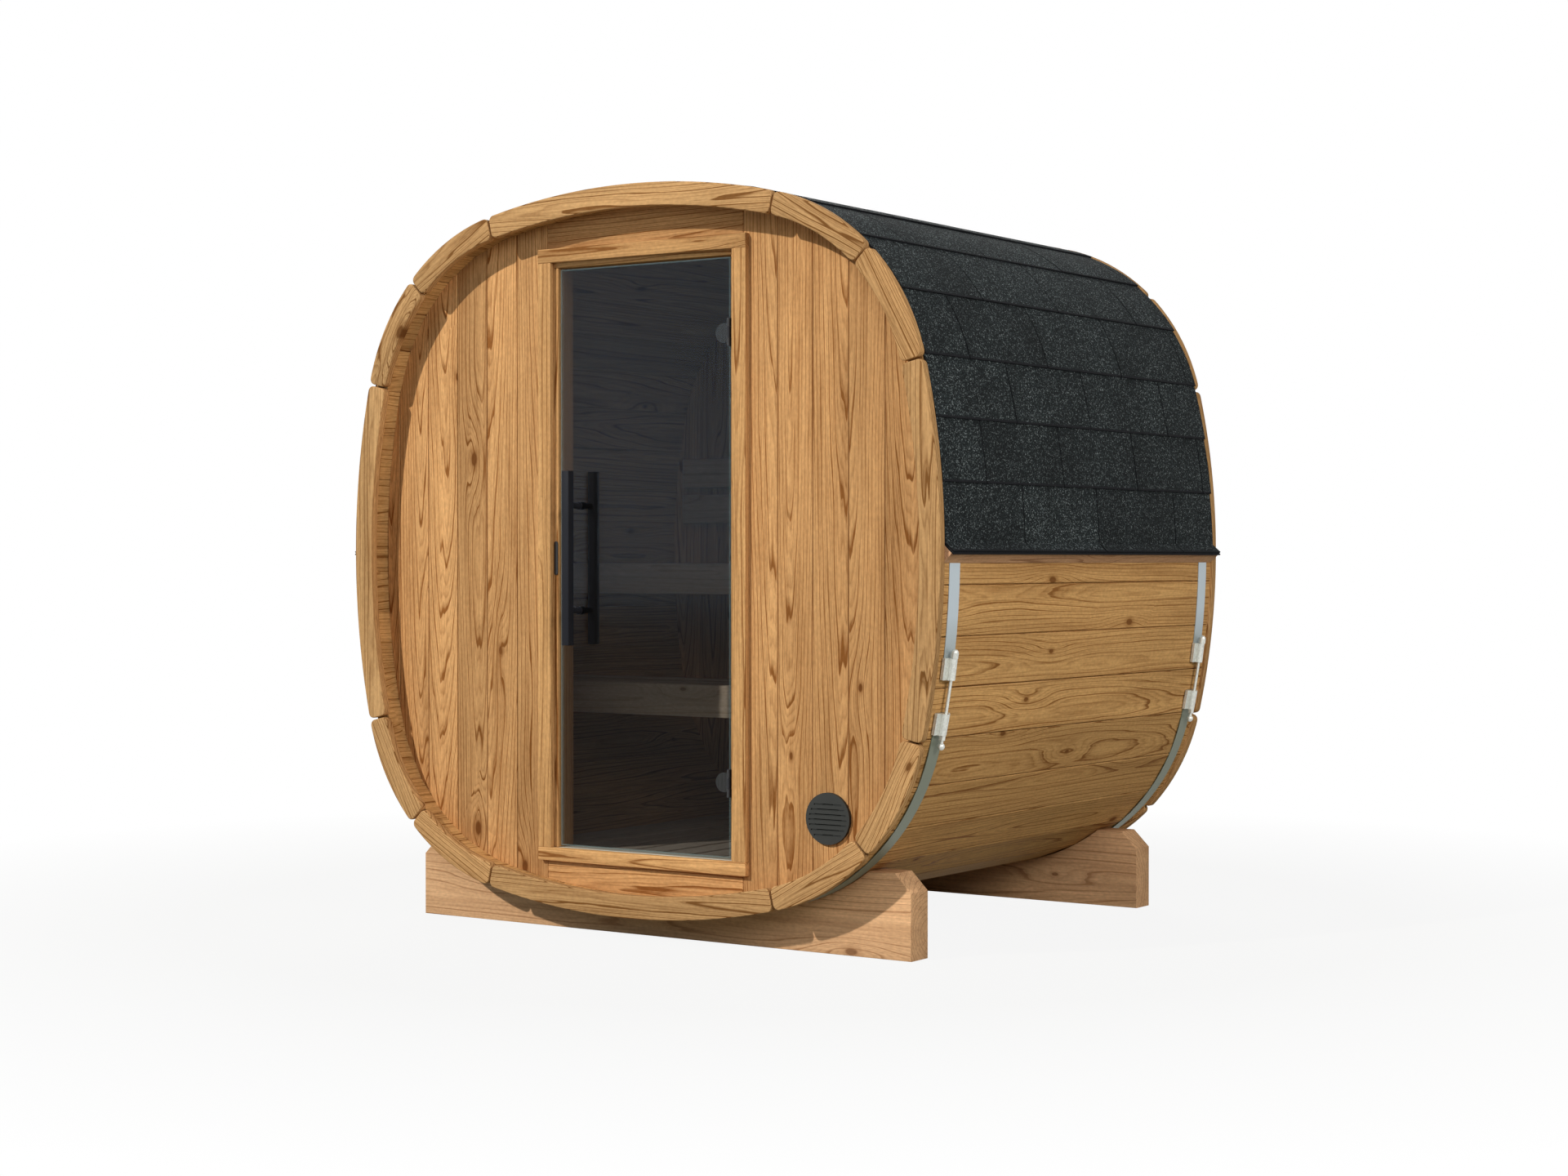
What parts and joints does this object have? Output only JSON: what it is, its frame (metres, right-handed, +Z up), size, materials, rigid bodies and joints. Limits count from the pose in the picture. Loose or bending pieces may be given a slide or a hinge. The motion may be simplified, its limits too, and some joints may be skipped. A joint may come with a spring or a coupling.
{
  "type": "barrel sauna",
  "caption": "Rounded-square timber barrel sauna with staves, shingled top, steel bands, tinted glass door in a wooden frame and benches inside, on two timber cradles.",
  "frame": {"origin": "on the ground, under the middle of the barrel", "axes": "+Z up, +Y from the door end to the rear end, +X to the right seen from the front"},
  "size_m": [2.0994, 1.65, 2.1138],
  "materials": {
    "staves": "oiled, satin",
    "trim": "oiled, satin",
    "shingles": "mineral granules, rough",
    "steel": "galvanised",
    "cradle_timber": "planed",
    "wall_boards": "oiled, satin",
    "door_frame": "oiled, satin",
    "tinted_glass": "tinted, clear",
    "black_metal": "matt black",
    "vent_plastic": "matt",
    "bench_timber": "planed"
  },
  "bodies": {
    "cabin": {"barrel_top": "staves", "barrel_upper_right": "staves", "barrel_right": "staves", "barrel_lower_right": "staves", "barrel_bottom": "staves", "barrel_lower_left": "staves", "barrel_left": "staves", "barrel_upper_left": "staves", "front_trim": "trim", "rear_trim": "trim", "eave_batten_left": "trim", "eave_batten_right": "trim", "roof_left": "shingles", "roof_ridge": "shingles", "roof_right": "shingles", "front_band": "steel", "rear_band": "steel", "front_band_clamp": "steel", "rear_band_clamp": "steel", "front_cradle": "cradle_timber", "rear_cradle": "cradle_timber", "front_wall_left": "wall_boards", "front_wall_right": "wall_boards", "front_wall_header": "wall_boards", "front_wall_sill": "wall_boards", "rear_wall": "wall_boards", "casing_left": "door_frame", "casing_right": "door_frame", "casing_head": "door_frame", "casing_foot": "door_frame", "jamb_left": "door_frame", "jamb_right": "door_frame", "jamb_head": "door_frame", "threshold": "door_frame", "frame_hinges": "black_metal", "strike_plate": "black_metal", "vent_cover": "vent_plastic", "floor_deck": "bench_timber", "lower_bench": "bench_timber", "upper_bench": "bench_timber", "backrest": "bench_timber"},
    "door": {"door_glass": "tinted_glass", "outer_handle": "black_metal", "inner_handle": "black_metal", "glass_hinges": "black_metal"}
  },
  "joints": [
    {"name": "door_swing", "type": "hinge", "parent": "cabin", "child": "door", "pos_m": [0.30275, -0.75, 1.0715], "axis": [0, 0, 1], "range_deg": [0, 110]}
  ]
}
